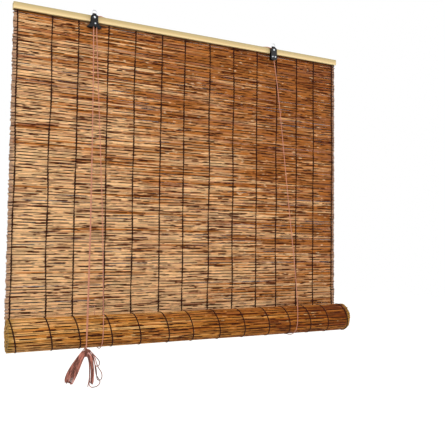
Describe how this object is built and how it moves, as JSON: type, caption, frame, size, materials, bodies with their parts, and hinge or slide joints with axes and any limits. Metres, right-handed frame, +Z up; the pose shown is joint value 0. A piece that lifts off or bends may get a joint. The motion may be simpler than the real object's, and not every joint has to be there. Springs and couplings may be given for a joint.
{
  "type": "roll-up blind",
  "caption": "Reed roll-up blind, half rolled: a woven mat hangs from a pine headrail, and two cords over pulley blocks lift the roll at its lower end",
  "frame": {"origin": "midway between the two bails, at the height where each bail sits on its hook", "axes": "X along the headrail, +Y towards the wall, +Z up; the room is on the -Y side"},
  "size_m": [1.2, 0.1241, 1.1565],
  "materials": {
    "reed": "natural reed, golden brown with darker streaks",
    "pine": "planed pine, unfinished",
    "warp_string": "dark brown spun string",
    "cord": "salmon brown braided cord",
    "black_steel": "black paint on folded steel",
    "bright_steel": "zinc plated",
    "wheel_plastic": "moulded"
  },
  "bodies": {
    "headrail": {"front_batten": "pine", "back_batten": "pine", "batten_nails": "bright_steel", "flat_mat": "reed", "warp_string_01": "warp_string", "warp_string_02": "warp_string", "warp_string_03": "warp_string", "warp_string_04": "warp_string", "warp_string_05": "warp_string", "warp_string_06": "warp_string", "warp_string_07": "warp_string", "warp_string_08": "warp_string", "warp_string_09": "warp_string", "warp_string_10": "warp_string", "warp_string_11": "warp_string", "warp_string_12": "warp_string", "warp_string_13": "warp_string", "warp_string_14": "warp_string", "left_cage": "black_steel", "right_cage": "black_steel", "left_axle_screw": "bright_steel", "right_axle_screw": "bright_steel", "axle_nuts": "bright_steel", "cam_pin": "bright_steel", "guide_pins": "bright_steel", "left_lift_cord": "cord", "right_lift_cord": "cord", "left_anchor_knot": "cord", "right_anchor_knot": "cord", "pull_cord_front": "cord", "pull_cord_rear": "cord"},
    "carriage": {"cord_hank": "cord", "hank_tie": "cord"},
    "roll": {"mat_coil": "reed", "string_ring_01": "warp_string", "string_ring_02": "warp_string", "string_ring_03": "warp_string", "string_ring_04": "warp_string", "string_ring_05": "warp_string", "string_ring_06": "warp_string", "string_ring_07": "warp_string", "string_ring_08": "warp_string", "string_ring_09": "warp_string", "string_ring_10": "warp_string", "string_ring_11": "warp_string", "string_ring_12": "warp_string", "string_ring_13": "warp_string", "string_ring_14": "warp_string"},
    "left_sheave": {"left_wheel": "wheel_plastic"},
    "right_sheave": {"right_wheel": "wheel_plastic"},
    "cam": {"lock_cam": "bright_steel"},
    "left_loop": {"left_bail": "bright_steel"},
    "right_loop": {"right_bail": "bright_steel"}
  },
  "joints": [
    {"name": "roll_lift", "type": "slide", "parent": "headrail", "child": "carriage", "axis": [0, 0, 1], "range_m": [-0.3, 0.86], "deforming": ["flat_mat", "warp_string_01", "warp_string_02", "warp_string_03", "warp_string_04", "warp_string_05", "warp_string_06", "warp_string_07", "warp_string_08", "warp_string_09", "warp_string_10", "warp_string_11", "warp_string_12", "warp_string_13", "warp_string_14", "left_lift_cord", "right_lift_cord", "pull_cord_front", "pull_cord_rear"]},
    {"name": "roll_turn", "type": "hinge", "parent": "carriage", "child": "roll", "pos_m": [0, -0.032, -1.001], "axis": [1, 0, 0], "range_deg": [-996, 348]},
    {"name": "left_wheel_spin", "type": "hinge", "parent": "headrail", "child": "left_sheave", "pos_m": [-0.357, 0, -0.023], "axis": [0, 1, 0], "continuous": true},
    {"name": "right_wheel_spin", "type": "hinge", "parent": "headrail", "child": "right_sheave", "pos_m": [0.309, 0, -0.023], "axis": [0, 1, 0], "continuous": true},
    {"name": "cam_release", "type": "hinge", "parent": "headrail", "child": "cam", "pos_m": [-0.355, 0, -0.0425], "axis": [0, 1, 0], "range_deg": [-40, 0]},
    {"name": "left_bail_swing", "type": "hinge", "parent": "headrail", "child": "left_loop", "pos_m": [-0.357, 0, -0.0113], "axis": [1, 0, 0], "range_deg": [-70, 70]},
    {"name": "right_bail_swing", "type": "hinge", "parent": "headrail", "child": "right_loop", "pos_m": [0.309, 0, -0.0113], "axis": [1, 0, 0], "range_deg": [-70, 70]}
  ],
  "couplings": [
    {"joint": "roll_turn", "follows": "roll_lift", "rad_per_m": -20.202},
    {"joint": "left_wheel_spin", "follows": "roll_lift", "rad_per_m": -266.67},
    {"joint": "right_wheel_spin", "follows": "roll_lift", "rad_per_m": -266.67}
  ]
}
